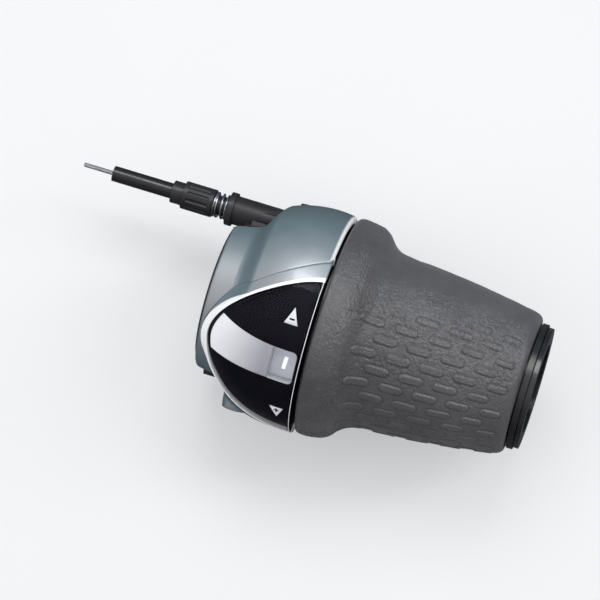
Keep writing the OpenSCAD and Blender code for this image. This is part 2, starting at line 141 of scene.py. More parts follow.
def spline(points, step):
    """Points about step apart on a smooth curve through the given ones."""
    p = np.array(points, float)
    chords = np.linalg.norm(np.diff(p, axis=0), axis=1)
    knots = np.concatenate([[0], np.cumsum(np.sqrt(chords))])
    slopes = np.gradient(p, knots, axis=0)
    out = []
    for i in range(len(p) - 1):
        count = max(1, int(math.ceil(chords[i] / step)))
        t = (np.arange(count) / count)[:, None]
        h = knots[i + 1] - knots[i]
        out.append((2 * t**3 - 3 * t**2 + 1) * p[i] + (t**3 - 2 * t**2 + t) * h * slopes[i]
                   + (-2 * t**3 + 3 * t**2) * p[i + 1] + (t**3 - t**2) * h * slopes[i + 1])
    return np.concatenate(out + [p[-1:]])


# ------------------------------------------------------------------ grids of points
def unit(v):
    return v / np.maximum(np.linalg.norm(v, axis=-1, keepdims=True), 1e-12)


def dot(a, b):
    return (a * b).sum(-1, keepdims=True)


def outward_normals(grid):
    normals = unit(np.cross(np.gradient(grid, axis=0), np.gradient(grid, axis=1)))
    radial = grid.copy()
    radial[..., 0] = 0
    return np.where(dot(normals, unit(radial)) < 0, -normals, normals)


def turn_down(grid, radius, depth, steps=4, axis=0, last=True):
    """Rounds one border of a grid over by radius and carries it down by depth."""
    rows = grid if axis == 0 else np.swapaxes(grid, 0, 1)
    if last:
        rows = rows[::-1]
    normal = outward_normals(rows)[0]
    border = rows[0]
    out = unit(np.cross(np.gradient(border, axis=0), normal))
    inner = rows[min(2, len(rows) - 1)] - border
    out = np.where(dot(out, inner) > 0, -out, out)
    added = []
    for k in range(1, steps + 1):
        angle = math.pi / 2 * k / steps
        added.append(border + out * radius * MM * math.sin(angle)
                     - normal * radius * MM * (1 - math.cos(angle)))
    added.append(border + out * radius * MM - normal * (radius + depth) * MM)
    rows = np.concatenate([np.array(added[::-1]), rows])
    if last:
        rows = rows[::-1]
    return rows if axis == 0 else np.swapaxes(rows, 0, 1)


def turn_down_sides(grid, radius, depth, steps=4):
    grid = turn_down(grid, radius, depth, steps, axis=1, last=False)
    return turn_down(grid, radius, depth, steps, axis=1, last=True)


def tube(path, radius, sides=12):
    """Grid of a round tube along a path in metres, each end drawn to a point."""
    path = np.asarray(path, float)
    tangents = unit(np.gradient(path, axis=0))
    normal = unit(np.cross(tangents[0], [0.31, 0.77, 0.55]))
    angle = np.linspace(0, 2 * math.pi, sides, endpoint=False)[:, None]
    rows = []
    for point, tangent in zip(path, tangents):
        normal = unit(normal - tangent * (normal @ tangent))
        side = np.cross(tangent, normal)
        rows.append(point + radius * MM * (np.cos(angle) * normal + np.sin(angle) * side))
    caps = [np.repeat(end[:, None], sides, 1) for end in (path[:1], path[-1:])]
    return np.concatenate([caps[0], np.array(rows), caps[1]]), False, True


# ------------------------------------------------------------------ meshes
def grid_faces(rows, columns, start, wrap_rows, wrap_columns):
    i, j = np.meshgrid(np.arange(rows if wrap_rows else rows - 1),
                       np.arange(columns if wrap_columns else columns - 1), indexing="ij")
    next_i, next_j = (i + 1) % rows, (j + 1) % columns
    corners = [i * columns + j, next_i * columns + j,
               next_i * columns + next_j, i * columns + next_j]
    return np.stack(corners, -1).reshape(-1, 4) + start


def link(name, mesh):
    ob = bpy.data.objects.new(name, mesh)
    bpy.context.scene.collection.objects.link(ob)
    return ob


def make(name, grids, weld=2e-6):
    """One mesh from grids: each is (points, wrap rows, wrap columns) or points alone.

    weld is the merging distance in metres; 0 leaves the points apart.
    """
    verts, faces, start = [], [], 0
    for grid in grids:
        points, wrap_rows, wrap_columns = grid if isinstance(grid, tuple) else (grid, False, False)
        rows, columns = points.shape[:2]
        verts.append(points.reshape(-1, 3))
        faces.append(grid_faces(rows, columns, start, wrap_rows, wrap_columns))
        start += rows * columns
    verts, faces = np.concatenate(verts), np.concatenate(faces)
    mesh = bpy.data.meshes.new(name)
    mesh.vertices.add(len(verts))
    mesh.vertices.foreach_set("co", verts.astype(np.float32).ravel())
    mesh.loops.add(faces.size)
    mesh.loops.foreach_set("vertex_index", faces.astype(np.int32).ravel())
    mesh.polygons.add(len(faces))
    mesh.polygons.foreach_set("loop_start", np.arange(0, faces.size, 4, dtype=np.int32))
    mesh.polygons.foreach_set("loop_total", np.full(len(faces), 4, np.int32))
    mesh.update(calc_edges=True)
    bm = bmesh.new()
    bm.from_mesh(mesh)
    if weld:
        bmesh.ops.remove_doubles(bm, verts=bm.verts, dist=weld)
    bmesh.ops.recalc_face_normals(bm, faces=bm.faces)
    bm.to_mesh(mesh)
    bm.free()
    mesh.polygons.foreach_set("use_smooth", np.ones(len(mesh.polygons), bool))
    mesh.validate()
    return link(name, mesh)


def read_vectors(items, key):
    values = np.empty(len(items) * 3, np.float32)
    items.foreach_get(key, values)
    return values.reshape(-1, 3)


def face_out(ob):
    """Turns an open skin so that, on the whole, it faces away from the bar's axis."""
    normals = read_vectors(ob.data.polygons, "normal")
    centres = read_vectors(ob.data.polygons, "center")
    if (normals[:, 1] * centres[:, 1] + normals[:, 2] * centres[:, 2]).sum() < 0:
        ob.data.flip_normals()


def thicken(ob, thickness):
    """Gives an open skin a thickness, inwards, by modifier."""
    face_out(ob)
    modifier = ob.modifiers.new("thickness", "SOLIDIFY")
    modifier.thickness = thickness * MM
    modifier.offset = -1
    modifier.use_rim = True
    modifier.use_even_offset = False


def line_skin(ob, thickness):
    """Closes an open skin with a second skin nearer the bar and a wall between the two."""
    face_out(ob)
    bm = bmesh.new()
    bm.from_mesh(ob.data)
    walls = []
    for edge in bm.edges:
        if len(edge.link_faces) != 1:
            continue
        a, b = edge.verts
        corners = list(edge.link_faces[0].verts)
        follows = corners[(corners.index(a) + 1) % len(corners)] == b
        walls.append((b, a) if follows else (a, b))
    twin = bmesh.ops.duplicate(bm, geom=bm.verts[:] + bm.edges[:] + bm.faces[:])
    inner = [item for item in twin["geom"] if isinstance(item, bmesh.types.BMFace)]
    bmesh.ops.reverse_faces(bm, faces=inner)
    for vert in (item for item in twin["geom"] if isinstance(item, bmesh.types.BMVert)):
        radius = math.hypot(vert.co.y, vert.co.z)
        vert.co.y *= (radius - thickness * MM) / radius
        vert.co.z *= (radius - thickness * MM) / radius
    pair = twin["vert_map"]
    for a, b in walls:
        bm.faces.new((a, b, pair[b], pair[a])).smooth = True
    bm.to_mesh(ob.data)
    bm.free()


def close_ends(ob):
    """Fills the open ends of a swept piece."""
    bm = bmesh.new()
    bm.from_mesh(ob.data)
    open_edges = [edge for edge in bm.edges if len(edge.link_faces) == 1]
    bmesh.ops.holes_fill(bm, edges=open_edges, sides=0)
    bmesh.ops.recalc_face_normals(bm, faces=bm.faces)
    bm.to_mesh(ob.data)
    bm.free()


def add_attribute(ob, name, values):
    attribute = ob.data.attributes.new(name, "FLOAT", "POINT")
    attribute.data.foreach_set("value", np.asarray(values, np.float32).ravel())


def set_materials(ob, *materials):
    ob.data.materials.clear()
    for material in materials:
        ob.data.materials.append(material)


def install(ob, slot, *materials, body="housing", replaced=None, blend=None):
    """Materials and motion of a piece; blend, given as (far body, start point, end point), is only
    tested: a piece with one is baked in place and attached to no body.
    """
    set_materials(ob, *materials)
    if blend:
        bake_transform(ob)
    else:
        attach(ob, body)
    if replaced:
        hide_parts(replaced)


# ------------------------------------------------------------------ shader building
class Nodes:
    """A node tree. Inputs take a plain value or an output socket; helpers return sockets."""

    def __init__(self, tree):
        self.tree = tree
        tree.nodes.clear()
        self.coords = self.node("ShaderNodeTexCoord").outputs

    def node(self, kind, *by_place, setup=None, **by_name):
        """A node with its inputs fed by place or by name, _ standing for a space."""
        made = self.tree.nodes.new(kind)
        for key, value in (setup or {}).items():
            setattr(made, key, value)
        for place, value in enumerate(by_place):
            self.feed(made.inputs[place], value)
        for key, value in by_name.items():
            self.feed(made.inputs[key.replace("_", " ")], value)
        return made

    def feed(self, socket, value):
        if isinstance(value, bpy.types.NodeSocket):
            self.tree.links.new(value, socket)
        else:
            socket.default_value = value

    def remap(self, value, span, to=(0, 1)):
        """Carries the range span onto the range to, clamped."""
        return self.node("ShaderNodeMapRange", Value=value, From_Min=span[0], From_Max=span[1],
                         To_Min=to[0], To_Max=to[1]).outputs["Result"]

    def ramp(self, value, stops, interpolation="LINEAR"):
        """Colours along 0..1 from (position, colour) stops."""
        made = self.node("ShaderNodeValToRGB", Fac=value)
        made.color_ramp.interpolation = interpolation
        elements = made.color_ramp.elements
        while len(elements) < len(stops):
            elements.new(0.5)
        for element, (position, colour) in zip(elements, stops):
            element.position = position
            element.color = (*colour[:3], 1)
        return made.outputs["Color"]

    def mix(self, factor, first, second):
        made = self.node("ShaderNodeMix", setup={"data_type": "RGBA"}, Factor=factor)
        colours = [socket for socket in made.inputs if socket.type == "RGBA"]
        self.feed(colours[0], first)
        self.feed(colours[1], second)
        return next(socket for socket in made.outputs if socket.type == "RGBA")

    def math(self, operation, first, second):
        return self.node("ShaderNodeMath", first, second,
                         setup={"operation": operation}).outputs["Value"]

    def vector(self, operation, *by_place, output="Vector", **by_name):
        return self.node("ShaderNodeVectorMath", *by_place,
                         setup={"operation": operation}, **by_name).outputs[output]


class Material(Nodes):
    def __init__(self, name):
        self.material = bpy.data.materials.new(name)
        self.material.use_nodes = True
        super().__init__(self.material.node_tree)

    def noise(self, scale, detail=3, rough=0.6, seed=0.0, stretch=(1, 1, 1), output="Fac"):
        place = self.node("ShaderNodeMapping", Vector=self.coords["Object"],
                          Location=(seed, seed * 0.7, -seed), Scale=stretch)
        return self.node("ShaderNodeTexNoise", Vector=place.outputs["Vector"], Scale=scale,
                         Detail=detail, Roughness=rough).outputs[output]

    def attribute(self, name):
        return self.node("ShaderNodeAttribute", setup={"attribute_name": name}).outputs["Fac"]

    def rounded(self, radius):
        """A normal that rounds edges in the shading."""
        return self.node("ShaderNodeBevel", setup={"samples": 4},
                         Radius=radius * MM).outputs["Normal"]

    def bump(self, height, distance, strength, normal=None):
        base = {"Normal": normal} if normal else {}
        return self.node("ShaderNodeBump", Height=height, Distance=distance * MM,
                         Strength=strength, **base).outputs["Normal"]

    def principled(self, **inputs):
        return self.node("ShaderNodeBsdfPrincipled", **inputs).outputs["BSDF"]

    def surface(self, shader):
        self.node("ShaderNodeOutputMaterial", Surface=shader)
        return self.material


def srgb(*levels):
    """A linear colour from 0..255 sRGB levels."""
    def linear(c):
        return c / 12.92 if c <= 0.04045 else ((c + 0.055) / 1.055) ** 2.4
    return (*(linear(level / 255) for level in levels), 1.0)


def tint(colour, gain, lift=0.0):
    return (*(min(1, c * gain + lift) for c in colour[:3]), 1)


# ------------------------------------------------------------------ materials
def plastic(name, colour, rough=0.45, grain=2600, depth=0.02, spec=0.5, coat=0.0,
            bevel=0.25, painted_glow=0.0):
    """Mottled plastic with a fine grain and paler, worn edges."""
    mat = Material(name)
    normal = mat.rounded(bevel)
    true_normal = mat.node("ShaderNodeNewGeometry").outputs["Normal"]
    edge = mat.remap(mat.vector("DOT_PRODUCT", normal, true_normal, output="Value"), (0.97, 0.80))
    fine = mat.noise(grain)
    broad = mat.noise(90, detail=4, seed=3.1)
    patch = mat.noise(420, seed=7.7)
    base = mat.mix(mat.remap(broad, (0.35, 0.65)),
                   tint(colour, gain=0.80), tint(colour, gain=1.22, lift=0.004))
    chips = mat.math("MULTIPLY", edge, mat.remap(patch, (0.42, 0.62), (0.15, 1.0)))
    wear = mat.math("MULTIPLY", chips, 0.6)
    # any glow makes the part shine though it is no lamp: painted light
    return mat.surface(mat.principled(
        Base_Color=mat.mix(wear, base, tint(colour, gain=1.7, lift=0.03)),
        Roughness=mat.remap(patch, (0.3, 0.7), (rough - 0.07, rough + 0.09)),
        Normal=mat.bump(fine, depth, 0.8, normal),
        Specular_IOR_Level=spec, Coat_Weight=coat, Coat_Roughness=0.15,
        Emission_Color=colour, Emission_Strength=painted_glow))


def metal(name, colour, rough, stain=0.18):
    mat = Material(name)
    fine = mat.noise(1800, detail=4)
    broad = mat.noise(160, detail=4, seed=5.2)
    return mat.surface(mat.principled(
        Base_Color=mat.mix(mat.remap(broad, (0.35, 0.66)),
                           tint(colour, gain=1 - stain), tint(colour, gain=1.12)),
        Metallic=1.0,
        Roughness=mat.remap(broad, (0.3, 0.7), (rough + 0.10, rough - 0.05)),
        Normal=mat.bump(fine, 0.006, 0.7, mat.rounded(0.15))))


def paint_with_painted_reflection(name):
    """Metallic paint, neutral and light seen square on and blue-grey as it turns away; this colour
    shift with angle is a painted reflection of blue-grey surroundings.

    A per-vertex attribute turns it into a pale, less metallic edge that glows: partly a bright
    edge finish, partly a painted highlight.
    """
    mat = Material(name)
    facing = mat.node("ShaderNodeLayerWeight", Blend=0.42).outputs["Facing"]
    # painted reflection: the colour turns blue-grey as the surface turns away from the view
    angle_tint_reflection = mat.ramp(facing, [(0.0, srgb(176, 178, 182)), (0.16, srgb(168, 175, 181)),
                              (0.40, srgb(152, 172, 181)), (1.0, srgb(104, 134, 147))])
    flakes = mat.node("ShaderNodeTexVoronoi", Vector=mat.coords["Object"], Scale=9000)
    sparkle = mat.remap(flakes.outputs["Distance"], (0.0, 0.7), (1.06, 0.93))
    trim_and_highlight = mat.attribute("trim_and_highlight")
    peel = mat.noise(700, detail=2, rough=0.5, seed=2.0)
    fine = mat.noise(5200, detail=2, rough=0.5, seed=4.0)
    wear = mat.noise(260, detail=5, rough=0.65, seed=9.0)
    scuff = mat.noise(1500, rough=0.7, seed=1.4, stretch=(0.15, 1, 1))
    return mat.surface(mat.principled(
        # the trim share is pale, less metallic and glowing: partly an edge finish, partly a
        # painted highlight
        Base_Color=mat.mix(trim_and_highlight, mat.vector("SCALE", angle_tint_reflection, Scale=sparkle),
                           (0.93, 0.935, 0.94, 1)),
        Metallic=mat.remap(trim_and_highlight, (0, 1), (0.70, 0.16)),
        Roughness=mat.remap(wear, (0.30, 0.72), (0.37, 0.50)),
        Normal=mat.bump(fine, 0.004, 0.5, mat.bump(peel, 0.010, 0.5)),
        Coat_Weight=0.55, Coat_IOR=1.5,
        Coat_Roughness=mat.remap(scuff, (0.45, 0.75), (0.06, 0.20)),
        Emission_Color=(1, 1, 1, 1),
        Emission_Strength=mat.remap(trim_and_highlight, (0, 1), (0.0, 0.16))))


def band_silver(name):
    """Satin silver with painted light along x: white and glowing at low x and greyer towards the
    grip, a painted highlight fading along the band.
    """
    painted_light_span = (0.005, 0.019)      # x in metres
    white = srgb(252, 252, 253)
    mat = Material(name)
    wear = mat.noise(300, detail=4, seed=6.0)
    soft = mat.noise(120, rough=0.5, seed=8.0)
    fine = mat.noise(2400, rough=0.5, seed=3.0)
    base = mat.mix(mat.remap(soft, (0.35, 0.65)), tint(white, gain=0.93), white)
    along = mat.node("ShaderNodeSeparateXYZ", mat.coords["Object"]).outputs["X"]
    return mat.surface(mat.principled(
        # painted light: a white, glowing highlight at low x that fades to grey towards the grip
        Base_Color=mat.mix(mat.remap(along, painted_light_span), base, srgb(196, 197, 201)),
        Metallic=0.20,
        Roughness=mat.remap(wear, (0.3, 0.7), (0.31, 0.43)),
        Normal=mat.bump(fine, 0.004, 0.5),
        Coat_Weight=0.0, Coat_Roughness=0.06,
        Emission_Color=(1, 1, 1, 1),
        Emission_Strength=mat.remap(along, painted_light_span, (0.30, 0.0))))


def grip_rubber(name):
    """Leathery rubber, led by the sleeve's attributes for the dashes, the grain and the painted
    shade in the creases.
    """
    mat = Material(name)
    raised = mat.attribute("dash")
    ridge = mat.attribute("grain")
    broad = mat.noise(55, detail=4, seed=1.0)
    patch = mat.noise(300, detail=4, rough=0.65, seed=2.5)
    pores = mat.noise(3600, rough=0.65, seed=4.5)
    warp = mat.noise(900, detail=2, rough=0.5, seed=6.0, output="Color")
    warped = mat.vector("MULTIPLY_ADD", warp, (0.0009, 0.0009, 0.0009), mat.coords["Object"])
    grit = mat.node("ShaderNodeTexVoronoi", setup={"feature": "DISTANCE_TO_EDGE"},
                    Vector=warped, Scale=1500).outputs["Distance"]
    cells = mat.math("MULTIPLY", mat.remap(grit, (0.0, 0.22)),
                     mat.remap(ridge, (0.0, 0.45), (0.25, 1.0)))
    dust = mat.math("MULTIPLY", mat.remap(patch, (0.45, 0.75), (0.0, 0.55)),
                    mat.remap(ridge, (0.2, 1.0), (0.2, 1.0)))
    colour = mat.mix(mat.remap(broad, (0.35, 0.66)), srgb(72, 71, 75), srgb(86, 85, 88))
    colour = mat.mix(dust, colour, srgb(112, 110, 111))
    # the dashes have a colour of their own on top, and painted shade darkens the creases
    colour = mat.mix(mat.remap(raised, (0, 1), (0.0, 0.35)), colour, srgb(84, 83, 87))
    colour = mat.mix(mat.remap(mat.attribute("crease_shade"), (0, 1), (0.0, 0.55)),
                     colour, srgb(44, 43, 46))
    return mat.surface(mat.principled(
        Base_Color=colour,
        Roughness=mat.math("SUBTRACT", mat.remap(patch, (0.3, 0.7), (0.32, 0.45)),
                           mat.remap(raised, (0, 1), (0.0, 0.02))),
        Normal=mat.bump(pores, 0.030, 0.8, mat.bump(cells, 0.065, 0.85)),
        Specular_IOR_Level=0.85, Sheen_Weight=0.12, Sheen_Roughness=0.5))


def matt_print(name, dark, light):
    mat = Material(name)
    cloud = mat.noise(260, rough=0.5, seed=3.3)
    return mat.surface(mat.principled(
        Base_Color=mat.mix(mat.remap(cloud, (0.35, 0.65)), dark, light),
        Roughness=mat.remap(cloud, (0.3, 0.7), (0.42, 0.55)),
        Specular_IOR_Level=0.08))


def clear_plastic(name):
    """A clear sheet that reflects weakly, and only from the side it faces."""
    mat = Material(name)
    fresnel = mat.node("ShaderNodeFresnel", IOR=1.49).outputs["Fac"]
    backfacing = mat.node("ShaderNodeNewGeometry").outputs["Backfacing"]
    smear = mat.noise(160, detail=4, seed=2.0)
    wave = mat.noise(90, detail=2, rough=0.5, seed=5.0)
    through = mat.node("ShaderNodeBsdfTransparent", Color=(0.965, 0.965, 0.975, 1))
    gloss = mat.node("ShaderNodeBsdfGlossy", Normal=mat.bump(wave, 0.015, 0.25),
                     Roughness=mat.remap(smear, (0.35, 0.75), (0.015, 0.07)))
    share = mat.math("MULTIPLY", mat.math("MULTIPLY", fresnel, 0.18),
                     mat.math("SUBTRACT", 1.0, backfacing))
    return mat.surface(mat.node("ShaderNodeMixShader", share, through.outputs["BSDF"],
                                gloss.outputs["BSDF"]).outputs["Shader"])


HOUSING = plastic("black_housing", srgb(40, 37, 40), rough=0.42, depth=0.018)
CAP = plastic("black_cap", srgb(34, 33, 36), rough=0.36)
CORE = plastic("black_core", srgb(31, 31, 33), rough=0.30, coat=0.15)
RING = plastic("black_ring", srgb(26, 26, 28), rough=0.22, coat=0.5, depth=0.006)
ADJUSTER = plastic("black_adjuster", srgb(36, 36, 39), rough=0.38)
FERRULE = plastic("black_ferrule", srgb(38, 38, 42), rough=0.30)
CASING = plastic("black_casing", srgb(24, 24, 27), rough=0.26, coat=0.3, depth=0.01, grain=900)
LINER = plastic("white_liner", srgb(225, 224, 218), rough=0.4)
ACETAL = plastic("white_acetal", srgb(226, 225, 218), rough=0.38, spec=0.4)
FASCIA = matt_print("black_print", dark=srgb(13, 13, 21), light=srgb(17, 17, 26))
GAP_SHADE = matt_print("painted_gap_shade", dark=srgb(16, 16, 19), light=srgb(22, 22, 25))
# the dial, the white marks and the digits glow: painted light that brightens them in the shade
# under the lens and fascia
DIAL = plastic("grey_dial", srgb(194, 197, 203), rough=0.4, depth=0.0, painted_glow=0.30, bevel=0.01)
WHITE = plastic("white_print", srgb(246, 247, 249), depth=0.0, painted_glow=0.18, bevel=0.01)
DIGIT = plastic("white_digit", srgb(252, 252, 252), depth=0.0, painted_glow=0.80, bevel=0.01)
STEEL = metal("bright_steel", srgb(200, 200, 203), rough=0.25)
SPRING = metal("spring_steel", srgb(186, 187, 192), rough=0.24)
WIRE = metal("wire_steel", srgb(176, 177, 180), rough=0.30)
OXIDE = metal("black_oxide", srgb(62, 62, 66), rough=0.36, stain=0.3)
ZINC = metal("zinc", srgb(186, 190, 196), rough=0.33)
SCREW = metal("dark_screw", srgb(112, 112, 116), rough=0.32)
PAINT = paint_with_painted_reflection("paint_with_painted_reflection")
BAND = band_silver("silver_band")
RUBBER = grip_rubber("grip_rubber")
CLEAR = clear_plastic("clear_lens")

# ------------------------------------------------------------------ painted top cover
COVER_ROUND = 0.28              # rounding of the cover's edges
COVER_TURN = 1.1                # how far its edges turn down
COVER_REAR_PSI = 117.7
# Front edge of the cover: x, y
FRONT_EDGE = np.array([(-2, 12.6), (0.6, 14.6), (1.5, 15.4), (3, 15.7), (8.8, 16.9),
                       (12.0, 24.1), (15.4, 34)])
# Screw seats: x, psi, height of boss top, boss radius (0 for none), hole radius, hole floor
SCREW_SEATS = [(12.4, 109.0, 27.28, 3.9, 2.33, 25.72),
               (15.6, -88.0, 0.0, 0.0, 2.33, 26.22)]


def front_edge_psi(x):
    y = np.interp(x, FRONT_EDGE[:, 0], FRONT_EDGE[:, 1]) - COVER_ROUND
    sine = y / cover_radius(x)
    return -np.degrees(np.arcsin(np.clip(sine, -1, 1))) - 12.0 * smooth((sine - 1) / 0.05)


def with_screw_seats(x, psi, radius):
    """Cover radii with flat-topped round bosses and flat-bottomed holes added."""
    for seat_x, seat_psi, top, boss_r, hole_r, floor in SCREW_SEATS:
        turn = np.radians(psi - seat_psi)
        flat = np.cos(np.clip(turn, -0.7, 0.7))
        distance = np.hypot(x - seat_x, radius * np.sin(turn))
        near = np.cos(turn) > 0.7
        if boss_r:
            share = smooth((boss_r + 0.25 - distance) / 0.8) * near
            radius = radius + share * np.maximum(0, top / flat - radius)
        share = smooth((hole_r + 0.08 - distance) / 0.16) * near
        radius = radius + share * (floor / flat - radius)
    return radius


def cover_patch(xs, low_psi, high_psi, columns):
    v = np.linspace(0, 1, columns)
    x = np.repeat(xs[:, None], columns, 1)
    psi = low_psi[:, None] * (1 - v) + high_psi[:, None] * v
    return polar(x, with_screw_seats(x, psi, cover_radius(x)), psi)


def build_cover():
    """A collar at the closed end, and a front and a rear patch either side of the window."""
    apex = COVER_ARCH[0]
    collar_x = np.linspace(0.80, apex, 4)
    side_x = apex + (28.38 - apex) * np.linspace(0, 1, 170) ** 1.35
    sine = arch_half_width(side_x, COVER_ARCH) / cover_radius(side_x)
    opening = np.degrees(np.arcsin(np.clip(sine, 0, 1)))
    collar = cover_patch(collar_x, front_edge_psi(collar_x), np.full(4, COVER_REAR_PSI), 260)
    front = cover_patch(side_x, front_edge_psi(side_x), WINDOW_PSI - opening, 230)
    rear = cover_patch(side_x, WINDOW_PSI + opening, np.full(170, COVER_REAR_PSI), 230)
    collar = turn_down(collar, COVER_ROUND, COVER_TURN, last=False)
    patches = [turn_down_sides(patch, COVER_ROUND, COVER_TURN) for patch in (collar, front, rear)]
    patches[1:] = [turn_down(patch, 0.2, COVER_TURN) for patch in patches[1:]]
    for patch in patches:
        patch[..., 0] = np.clip(patch[..., 0], 0.5 * MM, 28.59 * MM)
    cover = make("cover_skin", patches)
    line_skin(cover, 0.6)
    x = read_vectors(cover.data.vertices, "co")[:, 0] * 1000
    # the outboard edge beyond x = 27.5 turns pale and glows: partly a bright edge finish, partly a
    # painted highlight
    add_attribute(cover, "trim_and_highlight", smooth((x - 27.5) / 0.5))
    install(cover, "cover_paint", PAINT, replaced="top_cover")


# ------------------------------------------------------------------ rim round the window
# Section of the rim: share of the way from its outer to its inner arch, height offset
RIM_SECTION = np.concatenate([
    [(0, -1.0), (0, -0.14), (0.01, -0.02), (0.03, 0.0)],
    [(v, 0.0) for v in np.linspace(0.07, 0.95, 34)],
    [(0.965, -0.015), (0.98, -0.05), (0.99, -0.10), (1.0, -0.20), (1.0, -1.45)]])
# Top of the window's edge strip: x, height over the lens surface
EDGE_TOP = [(28.16, -0.05), (28.18, 0.03), (28.23, 0.07), (28.34, 0.06), (28.40, 0.0),
            (28.44, -0.10), (28.45, -0.25)]


def build_window_rim():
    # reach runs 0 at the apex... 1 back at the open ends is mirrored from front to rear
    half = np.linspace(0, 1, 130)
    reach = np.concatenate([half, half[::-1][1:]])
    sign = np.concatenate([np.ones(130), -np.ones(129)])
    back = 1 - (1 - reach) ** 2

    def arch_line(arch):
        apex, end, width = arch
        return end - (end - apex) * back, sign * width * arch_profile(back)

    outer_x, outer_t = arch_line(RIM_OUTER_ARCH)
    inner_x, inner_t = arch_line(RIM_INNER_ARCH)
    # the inner share of the rim is pale and glowing, widest at the apex: partly a bright trim,
    # partly a painted highlight
    bright_share = 0.27 + 0.73 * smooth((reach - 0.42) / 0.48)
    edge = 1 - bright_share
    rows, bright = [], []
    for v, offset in RIM_SECTION:
        x = outer_x * (1 - v) + inner_x * v
        t = outer_t * (1 - v) + inner_t * v
        low = cover_radius(np.clip(x, 1.3, 27.4)) + 0.03
        high = np.maximum(lens_radius(x) + 0.14, low + 0.06)
        flank = 0.62 * np.clip(v / np.maximum(edge, 0.02), 0, 1) ** 1.25
        crest = smooth((v - edge) / (0.30 * bright_share + 0.02))
        height = flank * (1 - crest) + crest
        rows.append(across(x, low * (1 - height) + high * height + offset, t))
        bright.append(smooth((v - edge + 0.02) / 0.05))
    ring = np.swapaxes(np.array(rows), 0, 1)
    ring[..., 0] = np.minimum(ring[..., 0], 28.5 * MM)

    # a strip and a thin bead close the window beside the rubber; the strip is black as painted
    # shade of the gap there, and the bead is pale and glowing as a painted highlight on the lens
    # edge
    psi = np.linspace(WINDOW_PSI - 51.5, WINDOW_PSI + 51.5, 200)
    section = [(28.16, SEAT_R)]
    section += [(x, lens_radius(x) + lift) for x, lift in EDGE_TOP]
    section += [(28.45, SEAT_R)]
    strip = np.array([polar(x, radius, psi) for x, radius in section])
    bead = tube(polar(28.24, lens_radius(28.24), psi), 0.10, sides=10)

    rim = make("window_rim", [(ring, False, True), bead], weld=0)
    close_ends(rim)
    ring_trim_and_highlight = np.swapaxes(np.array(bright), 0, 1).ravel()
    add_attribute(rim, "trim_and_highlight", np.concatenate([ring_trim_and_highlight, np.ones(bead[0].size // 3)]))
    lip = make("window_edge", [(strip, True, False)], weld=0)
    close_ends(lip)
    install(lip, "fascia_black", GAP_SHADE, replaced="window_bezel")
    install(rim, "bright_rim", PAINT, replaced="window_bezel")


# ------------------------------------------------------------------ lens, silver band, marks
# Outline of the hole over the dial: x, t
DIAL_HOLE = [(20.9, -2.85), (26.0, -2.9), (26.7, -2.7), (27.05, -2.2), (27.15, -1.6),
             (27.15, 4.5), (27.05, 5.1), (26.7, 5.55), (26.0, 5.75), (20.9, 5.8), (20.9, -2.85)]
# Printed marks: name, lift above the fascia, material, slot, quads of (x, t) corners
MARKS = [
    ("mark_minus", 0.03, WHITE, "dial_grey",
     [((21.75, 12.0), (25.25, 12.0), (23.45, 15.7), (23.45, 15.7))]),
    ("mark_minus_bar", 0.045, FASCIA, "fascia_black",
     [((22.85, 12.95), (24.15, 12.95), (24.15, 13.35), (22.85, 13.35))]),
    ("mark_plus", 0.03, WHITE, "dial_grey",
     [((22.75, -11.9), (26.25, -11.9), (24.75, -15.9), (24.75, -15.9))]),
    ("mark_plus_bar", 0.045, FASCIA, "fascia_black",
     [((23.9, -12.95), (25.3, -12.95), (25.3, -13.35), (23.9, -13.35)),
      ((24.4, -12.4), (24.8, -12.4), (24.8, -13.9), (24.4, -13.9))]),
]


def build_lens():
    x = 3.25 + (27.93 - 3.25) * np.linspace(0, 1, 150) ** 1.4
    share = np.linspace(-1, 1, 170)
    dome = across(x[:, None], lens_radius(x)[:, None],
                  arch_half_width(x, LENS_ARCH)[:, None] * share)
    dome = turn_down_sides(dome, 0.12, 0.85, steps=3)
    lens = make("lens_dome", [turn_down(dome, 0.12, 0.85, steps=3)])
    thicken(lens, 0.7)
    install(lens, "lens_clear", CLEAR, replaced="window_lens")


def build_band():
    """The silver strip along the window and the lining of the hole at its end."""
    x = 4.02 + (20.86 - 4.02) * np.linspace(0, 1, 90) ** 1.3
    bow = (np.maximum(0, 27 - x) / 21) ** 2
    limit = arch_half_width(x, BAND_ARCH)
    high = np.minimum(5.75 + 1.25 * bow, limit)
    low = np.maximum(-2.85 - 0.75 * bow, -limit)
    v = np.linspace(0, 1, 50)
    strip = across(x[:, None], (lens_radius(x) - 1.16)[:, None],
                   low[:, None] * (1 - v) + high[:, None] * v)
    strip = turn_down_sides(strip, 0.03, 0.3, steps=2)

    outline = []
    corners = np.array(DIAL_HOLE)
    for start, end in zip(corners, corners[1:]):
        count = max(2, int(math.hypot(*(end - start)) / 0.25))
        outline += [start + (end - start) * (k / count) for k in range(count)]
    centre = np.array([24.0, 1.45])
    around = (np.array(outline) - centre) * [0.985, 0.99]
    surface = lens_radius(centre[0] + around[:, 0])
    # rows of the lining: outline scale, radius
    section = [(1.035, surface - 1.085), (1.0, surface - 1.085), (0.995, surface - 1.13),
               (0.965, SEAT_R)]
    lining = np.array([across(centre[0] + around[:, 0] * scale, radius,
                              centre[1] + around[:, 1] * scale) for scale, radius in section])
    band = make("silver_band", [strip, (lining, False, True)], weld=0)
    thicken(band, 0.04)
    install(band, "band_silver", BAND, replaced="fascia_band")


